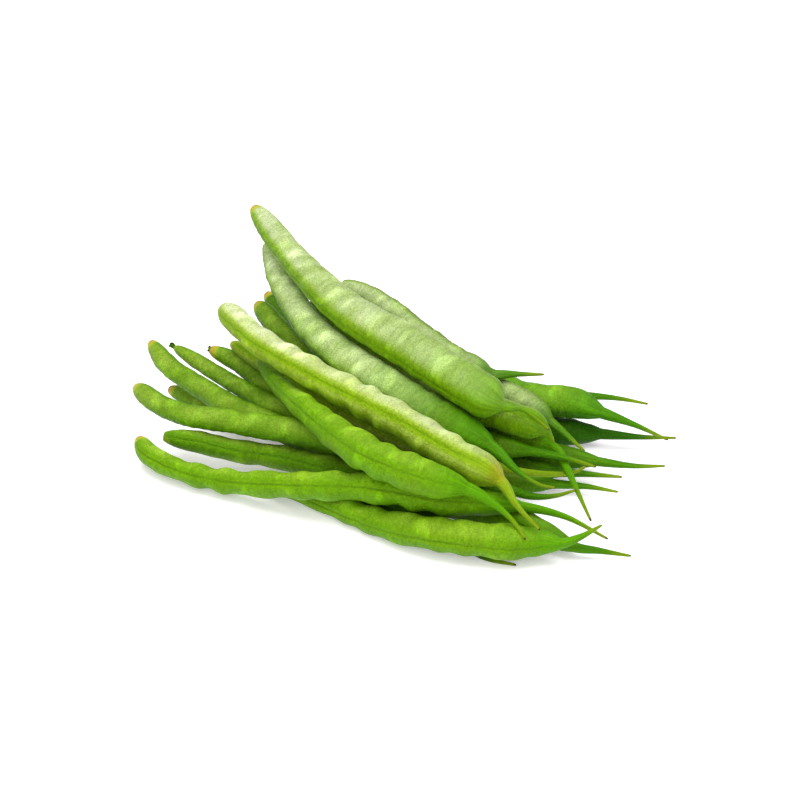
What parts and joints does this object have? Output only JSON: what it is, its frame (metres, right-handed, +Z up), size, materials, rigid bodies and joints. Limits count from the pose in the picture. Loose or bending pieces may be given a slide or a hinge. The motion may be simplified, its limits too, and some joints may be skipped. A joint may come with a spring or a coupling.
{
  "type": "green bean bundle",
  "caption": "Bunch of fresh green bean pods lying in a loose fan, stem ends together and raised at one side, slender beaks at the other.",
  "frame": {"origin": "middle of the bunch in plan, at the height of the table it lies on", "axes": "+X from the stem ends towards the beaks, +Y from the front of the bunch to its back, +Z up"},
  "size_m": [0.1712, 0.131, 0.0585],
  "materials": {
    "skin_top": "fresh pod skin, pale yellow green with a soft bloom",
    "skin_pale": "fresh pod skin, palest green with yellow seams",
    "skin_bright": "fresh pod skin, bright green",
    "skin_left": "fresh pod skin, middle green",
    "skin_deep": "fresh pod skin, deep green"
  },
  "bodies": {
    "root": {"pod_top": "skin_top", "pod_upper": "skin_top", "pod_pale": "skin_pale", "pod_seamed": "skin_bright", "pod_front_long": "skin_bright", "pod_front_low": "skin_bright", "pod_front_under": "skin_left", "pod_left_steep": "skin_left", "pod_left_slim": "skin_left", "pod_left_low": "skin_deep", "pod_left_level": "skin_left", "pod_mid_shaded": "skin_deep", "pod_mid_downward": "skin_bright", "pod_mid_slim": "skin_left", "pod_mid_scarred": "skin_left", "pod_back_low": "skin_deep", "pod_back_broad": "skin_bright", "pod_back_far": "skin_deep", "pod_under_top": "skin_top", "pod_back_high": "skin_top", "pod_back_short": "skin_top", "pod_under_front": "skin_deep"}
  },
  "joints": []
}
